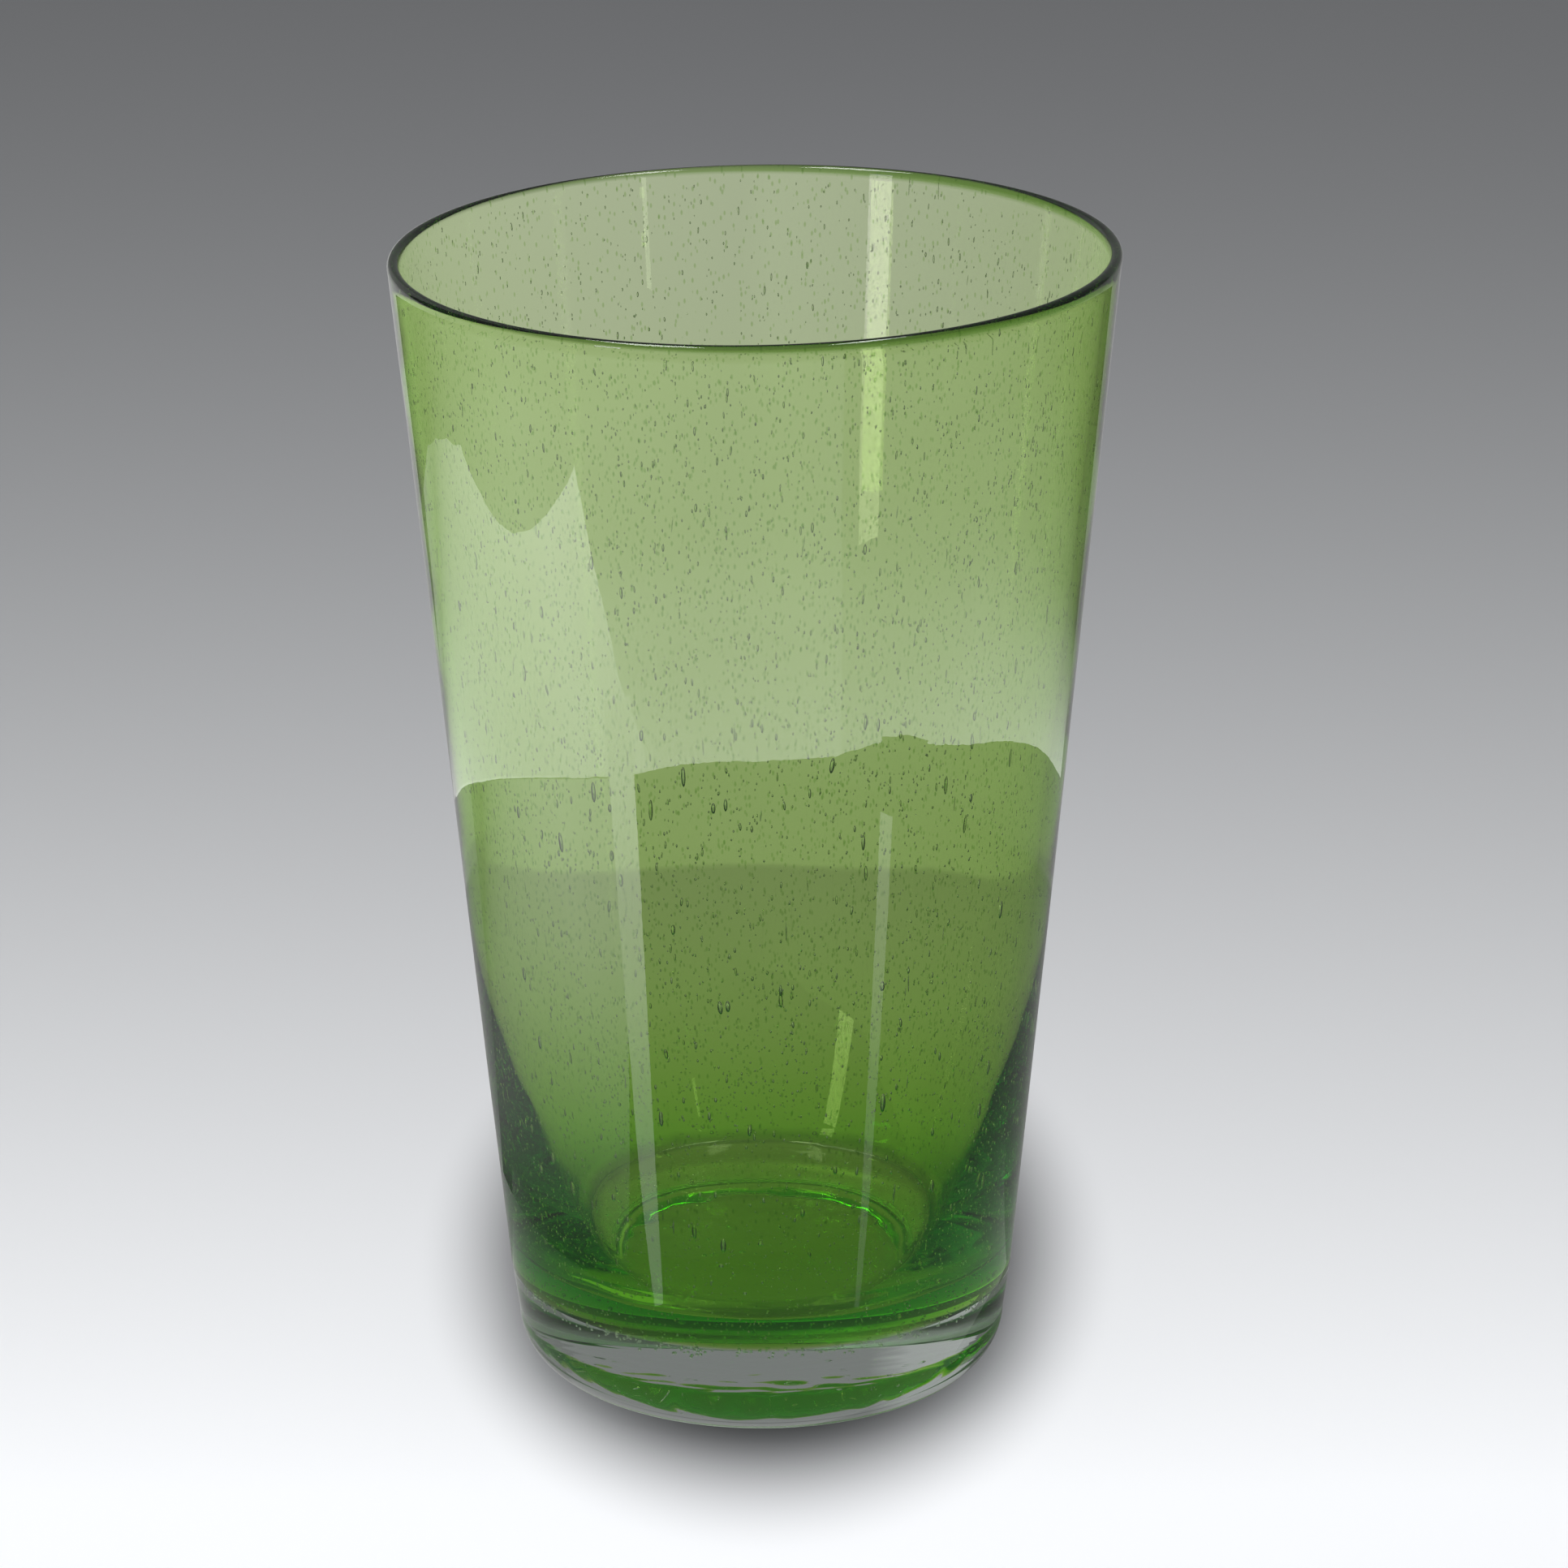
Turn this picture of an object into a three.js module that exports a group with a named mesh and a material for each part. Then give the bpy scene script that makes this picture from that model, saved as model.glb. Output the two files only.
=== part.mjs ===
// A tapered, hand-blown vase: a body of green glass full of fine seeds,
// fused onto a thick foot of clear glass, which is hollowed underneath.
// Millimetres, +Z up, the middle of the resting ring at the origin.

import * as THREE from 'three';

// Driving dimensions of the outside
const vaseHeight = 300;
const mouthRadius = 92.6;
const jointRadius = 65.9;
const jointHeight = 27.5;
const footRadius = 64;
const footEdgeRadius = 14.5;

// Driving dimensions of the inside
const lipThickness = 3.1;
const wallThickness = 4.4;
const bendHeight = 120;
const bendLength = 40;
const floorHeight = 33;
const floorRadius = 49.5;
const heelReach = 7.5;
const heelRise = 12;

// The joint between the two glasses: the green gather sags into the clear one
const jointSag = 6;
const jointGap = 0.3;

// The hollow under the foot, inside the flat ring that the vase stands on
const hollowDepth = 6.5;
const hollowFullness = 8;
const restWidth = 3;

// Fineness of the turned surfaces
const turnSteps = 72;
const arcSteps = 8;
const heelSteps = 12;
const hollowSteps = 10;

const greenGlass = new THREE.MeshStandardMaterial({
  color: 0x7fa34d,
  roughness: 0.04,
  metalness: 0,
  transparent: true,
  opacity: 0.75,
});

const clearGlass = new THREE.MeshStandardMaterial({
  color: 0xc9d3cf,
  roughness: 0.04,
  metalness: 0,
  transparent: true,
  opacity: 0.6,
});

// Points on a round stretch of outline, from one angle to another, in degrees
function arcPoints(centreRadius, centreHeight, arcRadius, fromAngle, toAngle) {
  const arc = new THREE.EllipseCurve(
    centreRadius,
    centreHeight,
    arcRadius,
    arcRadius,
    THREE.MathUtils.degToRad(fromAngle),
    THREE.MathUtils.degToRad(toAngle),
    toAngle < fromAngle,
  );
  return arc.getPoints(arcSteps);
}

// The sagging joint surface, from the axis outwards: lowest at the axis
function jointPoints(outerRadius, edgeHeight) {
  const points = [];
  for (let step = 0; step <= arcSteps; step += 1) {
    const share = step / arcSteps;
    const height = edgeHeight - jointSag * (1 - share * share);
    points.push(new THREE.Vector2(outerRadius * share, height));
  }
  return points;
}

// The hollow, from the axis outwards: nearly flat, then turning down to the ring
function hollowPoints(rimRadius) {
  const points = [];
  for (let step = 0; step <= hollowSteps; step += 1) {
    const share = Math.sin((step / hollowSteps) * (Math.PI / 2));
    const height = hollowDepth * (1 - share ** hollowFullness);
    points.push(new THREE.Vector2(rimRadius * share, height));
  }
  return points;
}

// Outer radius of the straight wall between the joint and the lip
function wallRadiusAt(height) {
  const lipHeight = vaseHeight - lipThickness / 2;
  const share = (height - jointHeight) / (lipHeight - jointHeight);
  return jointRadius + (mouthRadius - jointRadius) * share;
}

// The inside, from the lip down the wall, round the thick heel and onto the floor
function cavityPoints() {
  const lipRadius = lipThickness / 2;
  const top = new THREE.Vector2(mouthRadius - lipThickness, vaseHeight - lipRadius);
  const bend = new THREE.Vector2(wallRadiusAt(bendHeight) - wallThickness, bendHeight);
  const wallDirection = bend.clone().sub(top).normalize();
  const floorEdge = new THREE.Vector2(floorRadius, floorHeight);
  const heel = new THREE.CubicBezierCurve(
    bend,
    bend.clone().addScaledVector(wallDirection, bendLength),
    new THREE.Vector2(floorRadius + heelReach, floorHeight + heelRise),
    floorEdge,
  );
  const axisPoint = new THREE.Vector2(0, floorHeight);
  return [...heel.getPoints(heelSteps), axisPoint];
}

// A solid of revolution about the upright axis from an outline of radius and height
function turned(outline, name, material) {
  const geometry = new THREE.LatheGeometry(outline, turnSteps);
  const mesh = new THREE.Mesh(geometry, material);
  mesh.name = name;
  mesh.rotation.x = Math.PI / 2;
  return mesh;
}

// The green body: underside, straight tapered wall, full-round lip, cavity
function greenGlassBody() {
  const lipRadius = lipThickness / 2;
  const lip = arcPoints(mouthRadius - lipRadius, vaseHeight - lipRadius, lipRadius, 0, 180);
  const outline = [
    ...jointPoints(jointRadius, jointHeight),
    ...lip,
    ...cavityPoints(),
  ];
  return turned(outline, 'green_glass_body', greenGlass);
}

// The clear foot: hollow, flat resting ring, rounded edge, short side, dished top
function clearGlassFoot() {
  const edgeCentre = footRadius - footEdgeRadius;
  const edge = arcPoints(edgeCentre, footEdgeRadius, footEdgeRadius, -90, 0);
  const dish = jointPoints(jointRadius, jointHeight - jointGap).reverse();
  const outline = [
    ...hollowPoints(edgeCentre - restWidth),
    ...edge,
    ...dish,
  ];
  return turned(outline, 'clear_glass_foot', clearGlass);
}

const vase = new THREE.Group();
vase.add(greenGlassBody());
vase.add(clearGlassFoot());

export default vase;
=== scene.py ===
import math
import random

import bmesh
import bpy
from mathutils import Matrix, Vector, noise


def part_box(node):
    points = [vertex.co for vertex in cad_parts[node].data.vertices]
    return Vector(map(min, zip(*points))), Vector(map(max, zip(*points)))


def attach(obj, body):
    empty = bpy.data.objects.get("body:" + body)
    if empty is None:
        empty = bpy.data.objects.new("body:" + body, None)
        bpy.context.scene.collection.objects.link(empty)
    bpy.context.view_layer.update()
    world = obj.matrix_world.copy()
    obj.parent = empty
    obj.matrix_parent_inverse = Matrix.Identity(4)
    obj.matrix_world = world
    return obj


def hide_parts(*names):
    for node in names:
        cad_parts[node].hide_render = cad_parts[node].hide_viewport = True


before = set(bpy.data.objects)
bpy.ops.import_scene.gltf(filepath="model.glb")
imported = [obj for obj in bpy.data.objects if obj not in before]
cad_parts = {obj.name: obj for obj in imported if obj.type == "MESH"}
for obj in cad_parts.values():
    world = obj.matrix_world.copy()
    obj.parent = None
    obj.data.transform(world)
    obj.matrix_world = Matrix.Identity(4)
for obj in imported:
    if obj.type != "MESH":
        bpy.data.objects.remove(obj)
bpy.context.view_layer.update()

scene = bpy.context.scene
scene.view_settings.view_transform = "Standard"


# The studio: a pale sheet of paper under the vase, with a soft shadow painted
# into it round the foot, soft light from overhead, and a round patch of grey and
# lit cards that only the glass shows. For the glass the paper glows: painted
# light, with painted shadow close round the foot. The camera stands above the
# rim and looks down on the vase.

scene.cycles.max_bounces = 32
scene.cycles.transmission_bounces = 32
scene.cycles.glossy_bounces = 16
scene.cycles.transparent_max_bounces = 32

camera_lens = 159.6
camera_place = (0.0059, -1.7007, 0.7364)
camera_down = math.radians(18.78)

camera_data = bpy.data.cameras.new("camera")
camera_data.lens = camera_lens
camera = bpy.data.objects.new("camera", camera_data)
camera.location = camera_place
camera.rotation_euler = (math.pi / 2 - camera_down, 0, 0)
scene.collection.objects.link(camera)
scene.camera = camera


def new_material(name):
    """An empty material, with its nodes and its output."""
    material = bpy.data.materials.new(name)
    material.use_nodes = True
    tree = material.node_tree
    tree.nodes.clear()
    output = tree.nodes.new("ShaderNodeOutputMaterial")
    return material, tree, output


def ramp(tree, value, stops):
    """A ramp of grey levels, or of colours, from (place, level) stops."""
    node = tree.nodes.new("ShaderNodeValToRGB")
    elements = node.color_ramp.elements
    while len(elements) > 1:
        elements.remove(elements[-1])
    for number, (place, level) in enumerate(stops):
        element = elements.new(place) if number else elements[0]
        element.position = place
        element.color = (*level, 1) if isinstance(level, tuple) else (level, level, level, 1)
    tree.links.new(value, node.inputs["Fac"])
    return node.outputs["Color"]


def place_on(tree):
    """Where a point of the piece lies."""
    return tree.nodes.new("ShaderNodeTexCoord").outputs["Object"]


def coordinates(tree):
    """The X, Y and Z of a point of the piece."""
    parts = tree.nodes.new("ShaderNodeSeparateXYZ")
    tree.links.new(place_on(tree), parts.inputs["Vector"])
    return parts.outputs


def multiplied(tree, first, second):
    """One colour or place times another, which may be a constant."""
    node = tree.nodes.new("ShaderNodeVectorMath")
    node.operation = "MULTIPLY"
    tree.links.new(first, node.inputs[0])
    if isinstance(second, tuple):
        node.inputs[1].default_value = second
    else:
        tree.links.new(second, node.inputs[1])
    return node.outputs["Vector"]


def distance_from(tree, centre, squash=(1, 1)):
    """The level distance of a point from an upright line, with X and Y scaled first."""
    shift = tree.nodes.new("ShaderNodeVectorMath")
    shift.operation = "SUBTRACT"
    shift.inputs[1].default_value = (*centre, 0)
    length = tree.nodes.new("ShaderNodeVectorMath")
    length.operation = "LENGTH"
    tree.links.new(place_on(tree), shift.inputs[0])
    tree.links.new(multiplied(tree, shift.outputs["Vector"], (*squash, 0)), length.inputs[0])
    return length.outputs["Value"]


def worked_out(tree, operation, first, second=None):
    """One step of arithmetic on a node's value."""
    node = tree.nodes.new("ShaderNodeMath")
    node.operation = operation
    tree.links.new(first, node.inputs[0])
    if isinstance(second, (int, float)):
        node.inputs[1].default_value = second
    elif second is not None:
        tree.links.new(second, node.inputs[1])
    return node.outputs["Value"]


def mapped(tree, value, start, end, low=0.0, high=1.0):
    """Turns a value that runs from start to end into one that runs from low to high."""
    node = tree.nodes.new("ShaderNodeMapRange")
    node.inputs["From Min"].default_value = start
    node.inputs["From Max"].default_value = end
    node.inputs["To Min"].default_value = low
    node.inputs["To Max"].default_value = high
    tree.links.new(value, node.inputs["Value"])
    return node.outputs["Result"]


def seen_by_glass(tree):
    """1 for what shows through the glass or is mirrored by it, and 0 for the rest."""
    path = tree.nodes.new("ShaderNodeLightPath")
    return worked_out(tree, "MAXIMUM", path.outputs["Is Transmission Ray"], path.outputs["Is Glossy Ray"])


def made(name, mesh):
    """Turns a finished mesh into an object in the scene."""
    data = bpy.data.meshes.new(name)
    mesh.to_mesh(data)
    mesh.free()
    piece = bpy.data.objects.new(name, data)
    scene.collection.objects.link(piece)
    return piece


def stage_piece(name, mesh):
    """A piece of the studio, which isn't part of the vase."""
    piece = made(name, mesh)
    return piece


def sheet(name, corners):
    """A flat stage piece with the given corners."""
    mesh = bmesh.new()
    mesh.faces.new([mesh.verts.new(corner) for corner in corners])
    return stage_piece(name, mesh)


floor_size = 12.0
floor_level = -0.0003
paper_far = 0.180
paper_rise = 0.675
paper_fade = 0.585
# painted shadow: a soft dark ellipse painted into the paper's colour round and behind the foot
painted_shadow_centre = (0.0015, 0.078)
painted_shadow_reach = (0.0780, 0.168)
painted_shadow_edge = (0.70, 1.25)
painted_shadow_dark = 0.05
paper_white = 0.97
# for what the glass shows, the paper glows instead of being lit: painted light, with painted shadow close
# round the foot and painted light growing towards the left
ground_centre = (0, -0.0235)
ground_radius = 0.392
ground_tones_with_painted_shadow = [
    (0.05, 0.18), (0.08, 0.15), (0.13, 0.27), (0.25, 0.28),
    (ground_radius - 0.002, 0.26), (ground_radius, 0.36), (1.0, 0.45),
]
painted_light_to_left = 0.80
brighter_reach = 0.5

floor = sheet("floor", [
    (-floor_size, -floor_size, floor_level),
    (floor_size, -floor_size, floor_level),
    (floor_size, floor_size, floor_level),
    (-floor_size, floor_size, floor_level),
])
material, tree, output = new_material("paper")
paper = tree.nodes.new("ShaderNodeBsdfDiffuse")
spot = coordinates(tree)
away = worked_out(tree, "DIVIDE", spot["Y"], -paper_fade)
fading = worked_out(tree, "MULTIPLY", worked_out(tree, "EXPONENT", away), paper_rise)
tone = worked_out(tree, "MINIMUM", worked_out(tree, "ADD", fading, paper_far), paper_white)
# the paper's tone, darkened by the painted shadow round the foot
squash = [1 / reach for reach in painted_shadow_reach]
painted_shadow = mapped(tree, distance_from(tree, painted_shadow_centre, squash), *painted_shadow_edge, painted_shadow_dark)
painted_shadow.node.interpolation_type = "SMOOTHSTEP"
tree.links.new(worked_out(tree, "MULTIPLY", tone, painted_shadow), paper.inputs["Color"])
# painted light: the paper glows for the glass, darker near the foot and brighter to the left
glow = tree.nodes.new("ShaderNodeEmission")
tree.links.new(ramp(tree, distance_from(tree, ground_centre), ground_tones_with_painted_shadow), glow.inputs["Color"])
painted_side_light = mapped(
    tree, spot["X"], -brighter_reach, brighter_reach, 1 + painted_light_to_left / 2, 1 - painted_light_to_left / 2,
)
tree.links.new(painted_side_light, glow.inputs["Strength"])
swap = tree.nodes.new("ShaderNodeMixShader")
tree.links.new(seen_by_glass(tree), swap.inputs["Fac"])
tree.links.new(paper.outputs["BSDF"], swap.inputs[1])
tree.links.new(glow.outputs["Emission"], swap.inputs[2])
tree.links.new(swap.outputs["Shader"], output.inputs["Surface"])
floor.data.materials.append(material)

# the room: even light on the paper; the glass shows it darker near the horizon
room_light = (0.545, 0.56, 0.585)
room_tones = [(0.0, 0.10), (0.45, 0.16), (0.8, 0.22), (1.0, 0.28)]

world = bpy.data.worlds.new("studio")
scene.world = world
world.use_nodes = True
tree = world.node_tree
backdrop = tree.nodes["Background"]
direction = tree.nodes.new("ShaderNodeTexCoord")
parts = tree.nodes.new("ShaderNodeSeparateXYZ")
tree.links.new(direction.outputs["Generated"], parts.inputs["Vector"])
pick = tree.nodes.new("ShaderNodeMix")
pick.data_type = "RGBA"
pick.inputs["A"].default_value = (*room_light, 1)
tree.links.new(seen_by_glass(tree), pick.inputs["Factor"])
tree.links.new(ramp(tree, parts.outputs["Z"], room_tones), pick.inputs["B"])
tree.links.new(pick.outputs["Result"], backdrop.inputs["Color"])

overhead_size = 1.1
overhead_power = 13.6
overhead_place = (-0.1, -0.1, 1.6)

overhead_data = bpy.data.lights.new("overhead", "AREA")
overhead_data.shape = "RECTANGLE"
overhead_data.size = overhead_size
overhead_data.size_y = overhead_size
overhead_data.energy = overhead_power
overhead = bpy.data.objects.new("overhead", overhead_data)
overhead.location = overhead_place
overhead.visible_glossy = False
overhead.visible_transmission = False
scene.collection.objects.link(overhead)


faded_share = 0.1
gain_start, gain_end = -0.2, -0.8


def glowing(piece, level, tones=None, centre=(0, 0), fade_back=None, mirrored_only=True,
            tint=(1, 1, 1), left_gain=0.0):
    """Makes a stage piece glow, for the mirror of the glass or also for what shows through it.
    Tones run out from a centre, fade_back gives the two Y between which the glow dies away,
    and left_gain is how much brighter it grows towards the left."""
    material, tree, output = new_material(piece.name)
    glow = tree.nodes.new("ShaderNodeEmission")
    glow.inputs["Strength"].default_value = level
    glow.inputs["Color"].default_value = (*tint, 1)
    if tones:
        tree.links.new(ramp(tree, distance_from(tree, centre), tones), glow.inputs["Color"])
    if fade_back:
        spot = coordinates(tree)
        fade = mapped(tree, spot["Y"], *fade_back, level, level * faded_share)
        gain = mapped(tree, spot["X"], gain_start, gain_end, 1.0, 1.0 + left_gain)
        tree.links.new(worked_out(tree, "MULTIPLY", fade, gain), glow.inputs["Strength"])
    tree.links.new(glow.outputs["Emission"], output.inputs["Surface"])
    piece.data.materials.append(material)
    piece.visible_camera = False
    piece.visible_diffuse = False
    piece.visible_transmission = not mirrored_only
    piece.visible_shadow = False
    return piece


ring_level, sheet_level, strip_level = 0.001, 0.002, 0.003
ring_centre = (0.017, 0.02)
ring_radius = 0.435
ring_steps = 48
ring_fade = (-0.1, 0.5)
sheet_fade = (-0.20, 0.46)
veil_fade = (-0.12, 0.20)


def lit_ring(name, inner, outer, start, end, level, tones, fade_back=None, left_gain=0.0):
    """A lit stretch of the ground round the vase, between two bearings from the front."""
    start, end = math.radians(start), math.radians(end)
    across, back = ring_centre
    mesh = bmesh.new()
    ends = [mesh.verts.new((across + reach * math.sin(start), back - reach * math.cos(start), ring_level))
            for reach in (inner, outer)]
    edge = mesh.edges.new(ends)
    bmesh.ops.spin(
        mesh, geom=[*ends, edge], cent=(across, back, 0), axis=(0, 0, 1), dvec=(0, 0, 0),
        angle=end - start, steps=ring_steps,
    )
    return glowing(stage_piece(name, mesh), level, tones, ring_centre, fade_back, left_gain=left_gain)


paper_tones = [(ring_radius, 1.0), (0.5, 0.75), (0.6, 0.4), (0.8, 0.15), (1.0, 0.1)]
lit_ring("lit_paper_left", ring_radius, 1.0, -150, 25, 4.2, paper_tones, ring_fade, 0.4)
right_tones = [(ring_radius, 1.0), (0.5, 0.74), (0.6, 0.30), (0.8, 0.06), (1.0, 0.0)]
lit_ring("lit_paper_right", ring_radius, 1.0, 25, 150, 3.65, right_tones, ring_fade)

# the left of the ground mirrors the pale sheet, more so towards its edge
veil_tones = [(0.15, 0.08), (0.25, 0.48), (0.33, 0.82), (0.40, 1.0)]
lit_ring("left_veil", 0.15, ring_radius - 0.001, -125, -47, 2.7, veil_tones, veil_fade)

# close in front the ground is lit too, which lays a thin grey veil over the foot
near_tones = [(0.06, 1.0), (0.10, 1.0), (0.17, 0.55)]
lit_ring("near_ground", 0.075, 0.17, -110, 110, 0.42, near_tones)

# a brighter sheet that lies to the left, with a straight front edge
sheet_glow = 4.9
sheet_steps = 24
sheet_front = -0.33
sheet_back = math.radians(158)
sheet_corners = [(-0.42, 0.60), (-0.54, 0.52), (-0.60, 0.43), (-0.64, 0.33), (-0.66, 0.22),
                 (-0.61, 0.03), (-0.56, -0.19), (-0.53, sheet_front)]
mesh = bmesh.new()
sheet_start = math.acos((ring_centre[1] - sheet_front) / ring_radius)
for step in range(sheet_steps + 1):
    angle = -sheet_start - (sheet_back - sheet_start) * step / sheet_steps
    across = ring_centre[0] + ring_radius * math.sin(angle)
    back = ring_centre[1] - ring_radius * math.cos(angle)
    mesh.verts.new((across, back, sheet_level))
for across, back in sheet_corners:
    mesh.verts.new((across, back, sheet_level))
mesh.faces.new(mesh.verts)
glowing(stage_piece("left_sheet", mesh), sheet_glow, fade_back=sheet_fade)


strip_tones = [(0.10, 0.35), (0.22, 0.5), (0.42, 1.0)]


def strip(name, start, bearing, spread, level, near, far):
    """A narrow lit stretch of the ground that runs out from near the foot."""
    bearing, spread = math.radians(bearing), math.radians(spread)
    out = Vector((math.sin(bearing), -math.cos(bearing), 0))
    side = Vector((math.cos(bearing), math.sin(bearing), 0))
    start = Vector((*start, strip_level))
    corners = [start + out * reach + side * (reach * sign * math.tan(spread / 2))
               for reach, sign in ((near, -1), (far, -1), (far, 1), (near, 1))]
    return glowing(sheet(name, corners), level, strip_tones)


strip("left_strip", (-0.043, -0.078), -51.3, 12, 4.6, 0.03, 0.37)
strip("right_strip", (0.040, -0.080), 50, 6, 2.4, 0.03, 0.30)

# a pale screen behind, brighter to the left, which the foot shows upside down
screen_place = 1.5
screen_left, screen_right = -1.7, 1.3
screen_low, screen_high = 0.25, 3.2
screen_glow = 0.42
screen_brightest = -1.5
screen_tones = [(0.0, 1.0), (0.75, 0.9), (1.0, 0.5)]
glowing(sheet("screen", [
    (screen_left, screen_place, screen_low), (screen_right, screen_place, screen_low),
    (screen_right, screen_place, screen_high), (screen_left, screen_place, screen_high),
]), screen_glow, screen_tones, (screen_brightest, screen_place), mirrored_only=False)


lamp_distance = 1.2


def lamp(name, bearing, width, low, high, level, tint=(1, 1, 1)):
    """A tall narrow lamp in front, which the inside of the far wall mirrors as an upright streak."""
    bearing = math.radians(bearing)
    middle = Vector((lamp_distance * math.sin(bearing), lamp_distance * math.cos(bearing), 0))
    side = Vector((math.cos(bearing), -math.sin(bearing), 0)) * width / 2
    corners = [middle - side, middle + side, middle + side, middle - side]
    for corner, z in zip(corners, (low, low, high, high)):
        corner.z = z
    return glowing(sheet(name, corners), level, mirrored_only=False, tint=tint)


lamp("right_lamp", -136.2, 0.17, 0.07, 0.42, 5.0, (1.03, 0.88, 1.25))
lamp("left_lamp", 142, 0.035, 0.20, 0.40, 3.0)

# two boards overhead, which only the rim and the floor inside mirror
board_height = 1.5
board_reach = 0.3
board_glow = 10.0
for name, left, right in (("left_board", -0.56, -0.22), ("right_board", 0.27, 0.46)):
    glowing(sheet(name, [
        (left, -board_reach, board_height), (right, -board_reach, board_height),
        (right, board_reach, board_height), (left, board_reach, board_height),
    ]), board_glow)


# The green body: one gather of green glass full of fine seeds, blown and
# swung to a straight taper, its lip cut and fire-polished full round. The
# heel and the floor are left thick, and the underside sags into the foot.

body_low, body_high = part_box("green_glass_body")
foot_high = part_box("clear_glass_foot")[1]

height = body_high.z
mouth_radius = body_high.x
joint_radius = foot_high.x
joint_gap = 0.0003
joint_height = foot_high.z + joint_gap
joint_sag = joint_height - body_low.z
lip_thickness = 0.0031
wall_thickness = 0.0044
bend_height = 0.120
bend_length = 0.040
floor_height = 0.033
floor_radius = 0.0495
heel_reach = 0.0075
heel_rise = 0.012

turn_steps = 256
joint_steps = 40
wall_steps = 90
lip_steps = 16
inside_steps = 60
heel_steps = 90
crease_steps = 12
floor_steps = 28
fused_hair = 0.00002

# what the hand leaves: a lean, a rim out of level, fine ripples and a slow swell of the wall
lean = 0.0015
rim_tilt = 0.0149
ripple_push = 0.00005
ripple_round, ripple_up, ripple_through = 28, 22, 320
swell_push = 0.00016
swell_round, swell_up, swell_slice = 9, 7, 5.0
push_growth = 4

# the crease round the floor inside, and the swirls on the floor
crease_depth = 0.0007
crease_width = 0.0015
crease_wander = 0.0006
crease_bends, crease_slice = 60, 9.0
crease_least, crease_change = 0.8, 0.5
swirl_depth = 0.00012
swirl_across, swirl_along, swirl_slice = 90, 40, 2.0
skin_clear, skin_band = 0.010, 0.004


def line(start, end, steps):
    """The points of a straight stretch of outline."""
    points = []
    for step in range(steps + 1):
        share = step / steps
        points.append((start[0] + (end[0] - start[0]) * share, start[1] + (end[1] - start[1]) * share))
    return points


def arc(centre, radius, start, end, steps):
    """The points of a round stretch of outline, between two angles in degrees."""
    points = []
    for step in range(steps + 1):
        angle = math.radians(start + (end - start) * step / steps)
        points.append((centre[0] + radius * math.cos(angle), centre[1] + radius * math.sin(angle)))
    return points


def joint_line(edge_height):
    """The fused face from the axis outwards: lowest at the axis, where the green gather sags."""
    points = []
    for step in range(joint_steps + 1):
        share = step / joint_steps
        points.append((joint_radius * share, edge_height - joint_sag * (1 - share * share)))
    return points


def wall_radius(z):
    """The outer radius of the straight wall at a height."""
    top = height - lip_thickness / 2
    return joint_radius + (mouth_radius - joint_radius) * (z - joint_height) / (top - joint_height)


def cavity_line():
    """The inside from the lip down the wall, round the heel and over the floor to the axis."""
    top = Vector((mouth_radius - lip_thickness, height - lip_thickness / 2))
    bend = Vector((wall_radius(bend_height) - wall_thickness, bend_height))
    down = bend + (bend - top).normalized() * bend_length
    heel = Vector((floor_radius + heel_reach, floor_height + heel_rise))
    edge = Vector((floor_radius, floor_height))
    points = line(top, bend, inside_steps)[:-1]
    for step in range(heel_steps + 1):
        t = step / heel_steps
        point = bend * (1 - t) ** 3 + down * 3 * (1 - t) ** 2 * t + heel * 3 * (1 - t) * t * t + edge * t ** 3
        points.append(tuple(point))
    inner = (floor_radius - 4 * crease_width, floor_height)
    middle = (0, floor_height)
    return points + line(edge, inner, crease_steps)[1:] + line(inner, middle, floor_steps)[1:]


def hand_worked(point):
    """Where hand work leaves a point of the true form: a slight lean, a rim out of level, an uneven wall."""
    share = max(0.0, point.z / height)
    across = math.hypot(point.x, point.y)
    through = point.z * ripple_up + across * ripple_through
    ripple = noise.noise(Vector((point.x * ripple_round, point.y * ripple_round, through)))
    up = point.z * swell_up + swell_slice
    swell = noise.noise(Vector((point.x * swell_round, point.y * swell_round, up)))
    push = (ripple_push * ripple + swell_push * swell) * min(1.0, share * push_growth)
    out = Vector((point.x, point.y, 0)).normalized() if across > 1e-6 else Vector((0, 0, 0))
    moved = point + out * push
    moved.x -= lean * share
    moved.z += rim_tilt * point.x * share ** 3
    return moved


def swirled(point):
    """The wavy crease round the floor inside, and the faint swirls that cooling leaves on the floor."""
    across = math.hypot(point.x, point.y)
    above = abs(point.z - floor_height)
    if across < wall_radius(point.z) - skin_clear and above < skin_band:
        wave = noise.noise(Vector((point.x * crease_bends, point.y * crease_bends, crease_slice)))
        off = (across - floor_radius - crease_wander * wave) / crease_width
        groove = crease_depth * math.exp(-off * off) * (crease_least + crease_change * wave)
        curl = noise.noise(Vector((point.x * swirl_across, point.y * swirl_along, swirl_slice)))
        swirl = swirl_depth * curl * (across < floor_radius)
        point = point + Vector((0, 0, swirl - groove))
    return hand_worked(point)


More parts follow.
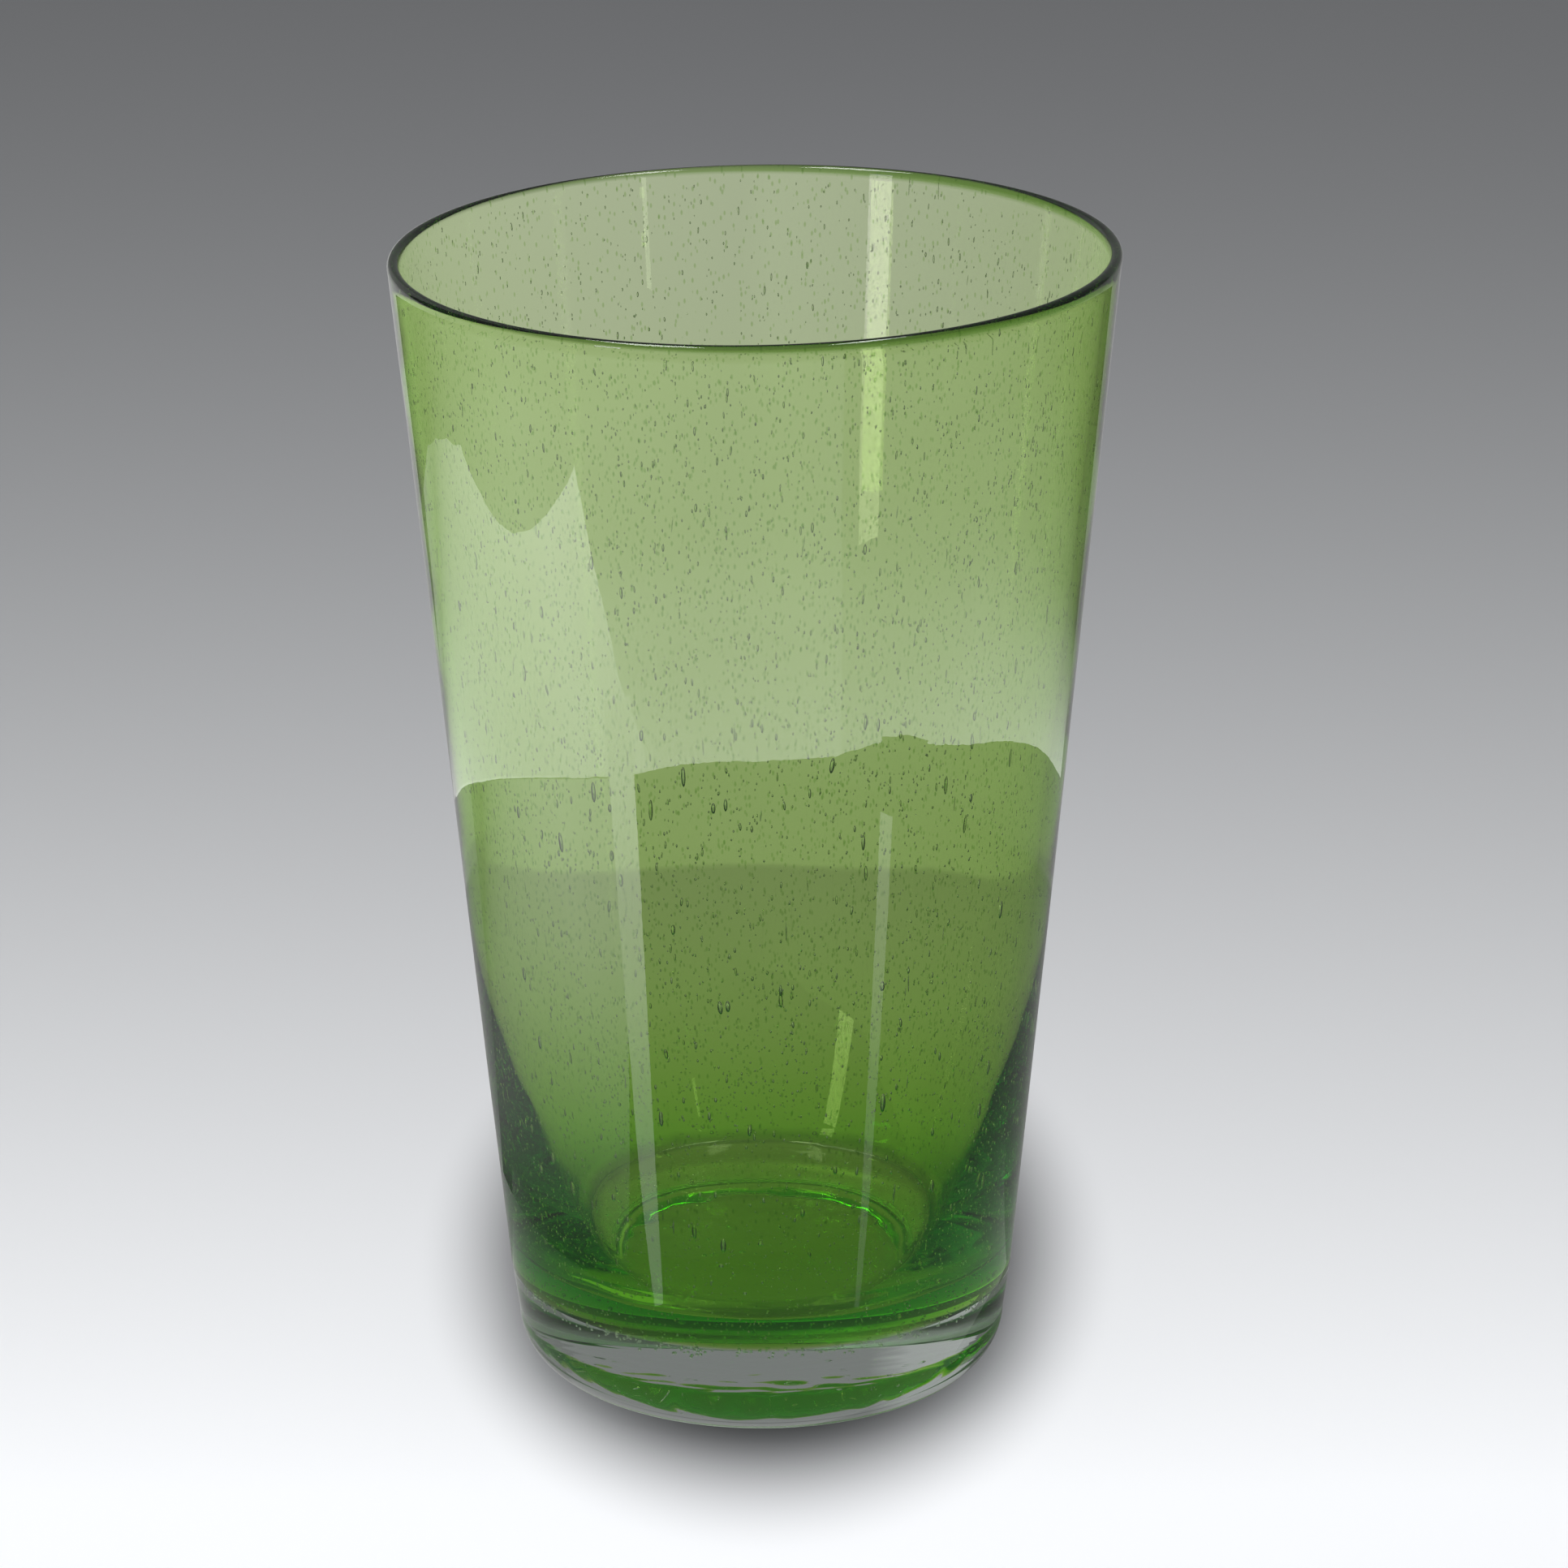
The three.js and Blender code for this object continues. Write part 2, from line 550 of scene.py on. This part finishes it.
def turned_piece(name, outline, fused_from, fused_to, worked=hand_worked):
    """Turns an outline of (radius, height) about the upright axis, fused between two of its points."""
    mesh = bmesh.new()
    fused = mesh.faces.layers.float.new("fused")
    row = mesh.verts.layers.int.new("row")
    points = [mesh.verts.new((radius, 0, z)) for radius, z in outline]
    for number, point in enumerate(points):
        point[row] = number
    edges = [mesh.edges.new(pair) for pair in zip(points[:-1], points[1:])]
    bmesh.ops.spin(
        mesh, geom=points + edges, cent=(0, 0, 0), axis=(0, 0, 1), dvec=(0, 0, 0),
        angle=2 * math.pi, steps=turn_steps, use_merge=True,
    )
    bmesh.ops.remove_doubles(mesh, verts=mesh.verts, dist=1e-6)
    bmesh.ops.recalc_face_normals(mesh, faces=mesh.faces)
    for face in mesh.faces:
        face.smooth = True
        face[fused] = float(all(fused_from <= vert[row] <= fused_to for vert in face.verts))
    for edge in mesh.edges:
        edge.smooth = len({face[fused] for face in edge.link_faces}) == 1
    for vert in mesh.verts:
        vert.co = worked(vert.co)
    return made(name, mesh)


def body_outline():
    """The fused underside, the wall, the full-round lip and the inside."""
    underside = joint_line(joint_height + fused_hair)
    top = height - lip_thickness / 2
    wall = line(underside[-1], (mouth_radius, top), wall_steps)
    lip = arc((mouth_radius - lip_thickness / 2, top), lip_thickness / 2, 0, 180, lip_steps)
    return underside + wall[1:] + lip[1:] + cavity_line()[1:]


green_body = turned_piece("green_body", body_outline(), 0, joint_steps, swirled)

# what the glass takes from red, green and blue light, per metre, and the tone of its shade
green_depth = (58.0, 14.0, 150.0)
green_shade = (0.98, 0.98, 0.98)
glass_ior = 1.5
ripple_scale = 160.0
ripple_depth = 0.000004
speck_scale = 560.0
speck_stretch = 0.45
plain = (1.0, 1.0, 1.0)
speck_tones = [(0.0, (0.44, 0.60, 0.32)), (0.15, (0.58, 0.72, 0.46)), (0.21, plain)]
speck_start, speck_full = 0.045, 0.060
# painted shade: a dark wavy line in the glass's colour along the crease round the floor
crease_shade_reach = 0.0038
crease_waves = 70.0
crease_sway = 2.5 * crease_width
crease_squash = 0.4
crease_shade_tones = [(0.40, (0.40, 0.45, 0.46)), (1.0, plain)]
# painted shade: the top of the lip is coloured a darker green, standing in for the dark line it shows
lip_start, lip_full = 0.0022, 0.0012
lip_shade_tones = [(0.0, plain), (1.0, (0.34, 0.52, 0.18))]


def mottled(tree, scale):
    """Random soft patches over the piece."""
    patches = tree.nodes.new("ShaderNodeTexNoise")
    patches.inputs["Scale"].default_value = scale
    tree.links.new(place_on(tree), patches.inputs["Vector"])
    return patches.outputs["Fac"]


def seeds_and_painted_shade(tree):
    """The skin of the green glass: fine seeds up the wall, painted shade along the crease round the floor,
    and a lip painted darker green as shade.
    """
    z = coordinates(tree)["Z"]
    dots = tree.nodes.new("ShaderNodeTexVoronoi")
    dots.inputs["Scale"].default_value = speck_scale
    drawn_up = multiplied(tree, place_on(tree), (1, 1, speck_stretch))
    tree.links.new(drawn_up, dots.inputs["Vector"])
    # none in the heel, where the thick glass would magnify them
    bare = mapped(tree, z, speck_full, speck_start)
    seeds = ramp(tree, worked_out(tree, "ADD", dots.outputs["Distance"], bare), speck_tones)
    # how far a point lies from the wavy crease, as a share of its reach
    wave = worked_out(tree, "SUBTRACT", mottled(tree, crease_waves), 0.5)
    sway = worked_out(tree, "MULTIPLY", wave, crease_sway)
    out = worked_out(tree, "SUBTRACT", distance_from(tree, (0, 0)), floor_radius)
    beside = worked_out(tree, "ABSOLUTE", worked_out(tree, "ADD", out, sway))
    above = worked_out(tree, "ABSOLUTE", worked_out(tree, "SUBTRACT", z, floor_height))
    apart = worked_out(tree, "ADD", beside, worked_out(tree, "MULTIPLY", above, crease_squash))
    # painted shade along the crease
    crease = ramp(tree, worked_out(tree, "DIVIDE", apart, crease_shade_reach), crease_shade_tones)
    lip = ramp(tree, mapped(tree, z, height - lip_start, height - lip_full), lip_shade_tones)
    return multiplied(tree, multiplied(tree, seeds, crease), lip)


def glass(name, depth, shade_tint, worn_up_to=None, speckled_and_shaded=False):
    """Polished glass, coloured in its depth. On the fused face it bends no light.
    Below worn_up_to the skin is rubbed matt, and a speckled one shows the finest seeds, with painted shade
    along the crease round the floor and on the lip."""
    material, tree, output = new_material(name)
    skin = tree.nodes.new("ShaderNodeBsdfPrincipled")
    skin.inputs["Base Color"].default_value = (1, 1, 1, 1)
    skin.inputs["Roughness"].default_value = 0.0
    skin.inputs["Transmission Weight"].default_value = 1.0
    if speckled_and_shaded:
        tree.links.new(seeds_and_painted_shade(tree), skin.inputs["Base Color"])
    if worn_up_to:
        worn = mapped(tree, coordinates(tree)["Z"], worn_up_to / 3, worn_up_to, worn_roughness, 0.0)
        tree.links.new(worn, skin.inputs["Roughness"])
    fused = tree.nodes.new("ShaderNodeAttribute")
    fused.attribute_name = "fused"
    bend = tree.nodes.new("ShaderNodeMath")
    bend.operation = "MULTIPLY_ADD"
    bend.inputs[1].default_value = 1 - glass_ior
    bend.inputs[2].default_value = glass_ior
    tree.links.new(fused.outputs["Fac"], bend.inputs[0])
    tree.links.new(bend.outputs["Value"], skin.inputs["IOR"])
    relief = tree.nodes.new("ShaderNodeBump")
    relief.inputs["Distance"].default_value = ripple_depth
    tree.links.new(mottled(tree, ripple_scale), relief.inputs["Height"])
    tree.links.new(relief.outputs["Normal"], skin.inputs["Normal"])
    shade = tree.nodes.new("ShaderNodeBsdfTransparent")
    shade.inputs["Color"].default_value = (*shade_tint, 1)
    path = tree.nodes.new("ShaderNodeLightPath")
    surface = skin.outputs["BSDF"]
    for kind in ("Is Diffuse Ray", "Is Shadow Ray"):
        mix = tree.nodes.new("ShaderNodeMixShader")
        tree.links.new(path.outputs[kind], mix.inputs["Fac"])
        tree.links.new(surface, mix.inputs[1])
        tree.links.new(shade.outputs["BSDF"], mix.inputs[2])
        surface = mix.outputs["Shader"]
    tree.links.new(surface, output.inputs["Surface"])
    density = max(depth)
    volume = tree.nodes.new("ShaderNodeVolumeAbsorption")
    volume.inputs["Color"].default_value = (*[1 - taken / density for taken in depth], 1)
    volume.inputs["Density"].default_value = density
    tree.links.new(volume.outputs["Volume"], output.inputs["Volume"])
    return material


green_body.data.materials.append(glass("green_glass", green_depth, green_shade, speckled_and_shaded=True))
green_body.visible_shadow = False
green_body.visible_diffuse = False
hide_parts("green_glass_body")
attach(green_body, "root")


# The clear foot: a separate gather of clear glass dropped on hot under the
# body. Its lower edge is left generously round, and a hollow is pressed up
# under it, so that the vase stands on a narrow flat ring.

foot_radius = 0.064
foot_edge_radius = 0.0145
rest_width = 0.003
hollow_depth = 0.0065
hollow_fullness = 8
hollow_roughness = 0.00028
hollow_bumps, hollow_slice = 160, 3.0
hollow_band = 0.001
hollow_steps = 45
rest_steps = 5
edge_steps = 24
side_steps = 10
clear_depth = (1.5, 0.9, 1.2)
clear_shade = (0.86, 0.86, 0.86)
worn_height = 0.0048
worn_roughness = 0.30


def hollow_line(radius):
    """The hollow from the axis outwards: nearly flat, then turning down to the ring."""
    points = []
    for step in range(hollow_steps + 1):
        share = math.sin(step / hollow_steps * math.pi / 2)
        points.append((radius * share, hollow_depth * (1 - share ** hollow_fullness)))
    return points


def foot_outline():
    """The hollow, the resting ring, the round edge, the side and the fused dish, with the dish's length."""
    edge_centre = foot_radius - foot_edge_radius
    hollow = hollow_line(edge_centre - rest_width)
    ring = line(hollow[-1], (edge_centre, 0), rest_steps)
    edge = arc((edge_centre, foot_edge_radius), foot_edge_radius, -90, 0, edge_steps)
    side = line(edge[-1], (joint_radius, joint_height - fused_hair), side_steps)
    dish = joint_line(joint_height - fused_hair)[::-1]
    return hollow + ring[1:] + edge[1:] + side[1:] + dish[1:], len(dish)


def pressed(point):
    """The rough skin that pressing leaves on the hollow, over what hand work does."""
    reach = math.hypot(point.x, point.y) / (foot_radius - foot_edge_radius - rest_width)
    if reach < 1 and point.z < hollow_depth + hollow_band:
        bumps = noise.noise(Vector((point.x * hollow_bumps, point.y * hollow_bumps, hollow_slice)))
        point = point + Vector((0, 0, hollow_roughness * bumps * (1 - reach ** hollow_fullness)))
    return hand_worked(point)


outline, dish_points = foot_outline()
clear_foot = turned_piece("clear_foot", outline, len(outline) - dish_points, len(outline) - 1, pressed)
clear_foot.data.materials.append(glass("clear_glass", clear_depth, clear_shade, worn_height))
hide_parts("clear_glass_foot")
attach(clear_foot, "root")


# The seeds: bubbles of air caught in the hot glass and drawn upright with the
# wall as it was blown. Most are mere specks, some are long drops, and those in
# the heel and at the joint stay round.

draw = random.Random(7)
seed_clear = 0.0002
seed_slant = 0.06
seed_widest, seed_taper = 1.05, 0.35
heel_top = 0.060
joint_clear = 0.0005
joint_crowding = 0.3
joint_depths = (0.6, 3.5)
inside_line = cavity_line()
wall_lean = math.atan((mouth_radius - joint_radius) / (height - joint_height))


def inside_radius(z):
    """The radius of the inside at a height, and nothing below the floor."""
    for (wide, top), (narrow, low) in zip(inside_line[:-1], inside_line[1:]):
        if low < z <= top:
            return narrow + (wide - narrow) * (z - low) / (top - low)
    return 0.0


def placed(radius, bearing, z):
    """The point at a radius and height, on a bearing from the front."""
    return Vector((radius * math.sin(bearing), -radius * math.cos(bearing), z))


def wall_seed(low, high, width, length):
    """A bubble somewhere in the thickness of the wall, drawn along it, and narrower further up."""
    z = draw.uniform(low, high)
    bearing = draw.uniform(-math.pi, math.pi)
    width *= seed_widest - seed_taper * z / height
    skin = width / 2 + seed_clear
    radius = draw.uniform(inside_radius(z) + skin, wall_radius(z) - skin)
    turn = Matrix.Rotation(bearing, 4, "Z") @ Matrix.Rotation(wall_lean, 4, "X")
    sway = Matrix.Rotation(draw.gauss(0, seed_slant), 4, "Y")
    return placed(radius, bearing, z), turn @ sway, width, length


def heel_seed(width):
    """A round bubble in the thick glass between the joint and the inside."""
    while True:
        radius = joint_radius * math.sqrt(draw.random())
        z = draw.uniform(joint_height - joint_sag, heel_top)
        under = joint_height - joint_sag * (1 - (radius / joint_radius) ** 2) + width
        in_wall = inside_radius(z) + width < radius < wall_radius(z) - width
        under_floor = z < floor_height - width and radius < joint_radius - width
        if under < z and (in_wall or under_floor):
            return placed(radius, draw.uniform(-math.pi, math.pi), z), Matrix.Identity(4), width, width


def joint_seed(width):
    """A round bubble trapped in the clear glass just under the joint."""
    radius = (joint_radius - width - joint_clear) * draw.random() ** joint_crowding
    under = joint_height - joint_sag * (1 - (radius / joint_radius) ** 2)
    place = placed(radius, draw.uniform(-math.pi, math.pi), under - draw.uniform(*joint_depths) * width)
    return place, Matrix.Identity(4), width, width


def wall_seeds(count, low, high, widths, stretches):
    """Bubbles in the wall between two heights, from ranges of width and of length in widths."""
    seeds = []
    for number in range(count):
        width = draw.uniform(*widths)
        seeds.append(wall_seed(low, high, width, width * draw.uniform(*stretches)))
    return seeds


def round_seeds(count, kind, widths):
    """Round bubbles of one kind, of the heel or the joint."""
    return [kind(draw.uniform(*widths)) for number in range(count)]


def bubbles(name, roundness, seeds):
    """One piece of many bubbles, from (place, turn, width, length) for each."""
    shape = bmesh.new()
    bmesh.ops.create_icosphere(shape, subdivisions=roundness, radius=0.5)
    for face in shape.faces:
        face.smooth = True
    bubble = bpy.data.meshes.new(name + "_shape")
    shape.to_mesh(bubble)
    shape.free()
    mesh = bmesh.new()
    for place, turn, width, length in seeds:
        one = bubble.copy()
        drawn = Matrix.Diagonal((width, width, length, 1))
        one.transform(Matrix.Translation(hand_worked(place)) @ turn @ drawn)
        mesh.from_mesh(one)
        bpy.data.meshes.remove(one)
    bpy.data.meshes.remove(bubble)
    piece = made(name, mesh)
    piece.visible_shadow = False
    piece.visible_diffuse = False
    piece.data.materials.append(air)
    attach(piece, "root")
    return piece


# air, with a trace of plain green in its skin so that the finest still show
air_clearness = 0.93
air_mottle = 900.0
air_tones = [(0.35, (0.68, 0.80, 0.55)), (0.65, (0.96, 1.0, 0.91))]

air, tree, output = new_material("trapped_air")
skin = tree.nodes.new("ShaderNodeBsdfPrincipled")
skin.inputs["Roughness"].default_value = 0.0
skin.inputs["Transmission Weight"].default_value = air_clearness
skin.inputs["IOR"].default_value = 1 / glass_ior
tree.links.new(ramp(tree, mottled(tree, air_mottle), air_tones), skin.inputs["Base Color"])
tree.links.new(skin.outputs["BSDF"], output.inputs["Surface"])

lip_bottom = height - lip_thickness
speck_widths = (0.00034, 0.00066)
heel_speck_widths = (0.00035, 0.0007)
drop_widths = (0.00050, 0.00085)
large_drop_widths = (0.0010, 0.0016)
thin_drop_widths = (0.0003, 0.0005)
heel_drop_widths = (0.0008, 0.0016)
joint_speck_widths = (0.0004, 0.0010)

specks = wall_seeds(7400, 0.040, lip_bottom, speck_widths, (1.0, 2.0))
specks += round_seeds(2200, heel_seed, heel_speck_widths)
bubbles("specks", 1, specks)

drops = wall_seeds(1000, 0.045, lip_bottom, drop_widths, (1.6, 3.4))
drops += wall_seeds(90, 0.055, 0.220, large_drop_widths, (1.8, 4.0))
drops += wall_seeds(60, 0.060, lip_bottom, thin_drop_widths, (6, 14))
drops += round_seeds(40, heel_seed, heel_drop_widths)
bubbles("drops", 2, drops)

bubbles("joint_specks", 1, round_seeds(700, joint_seed, joint_speck_widths))
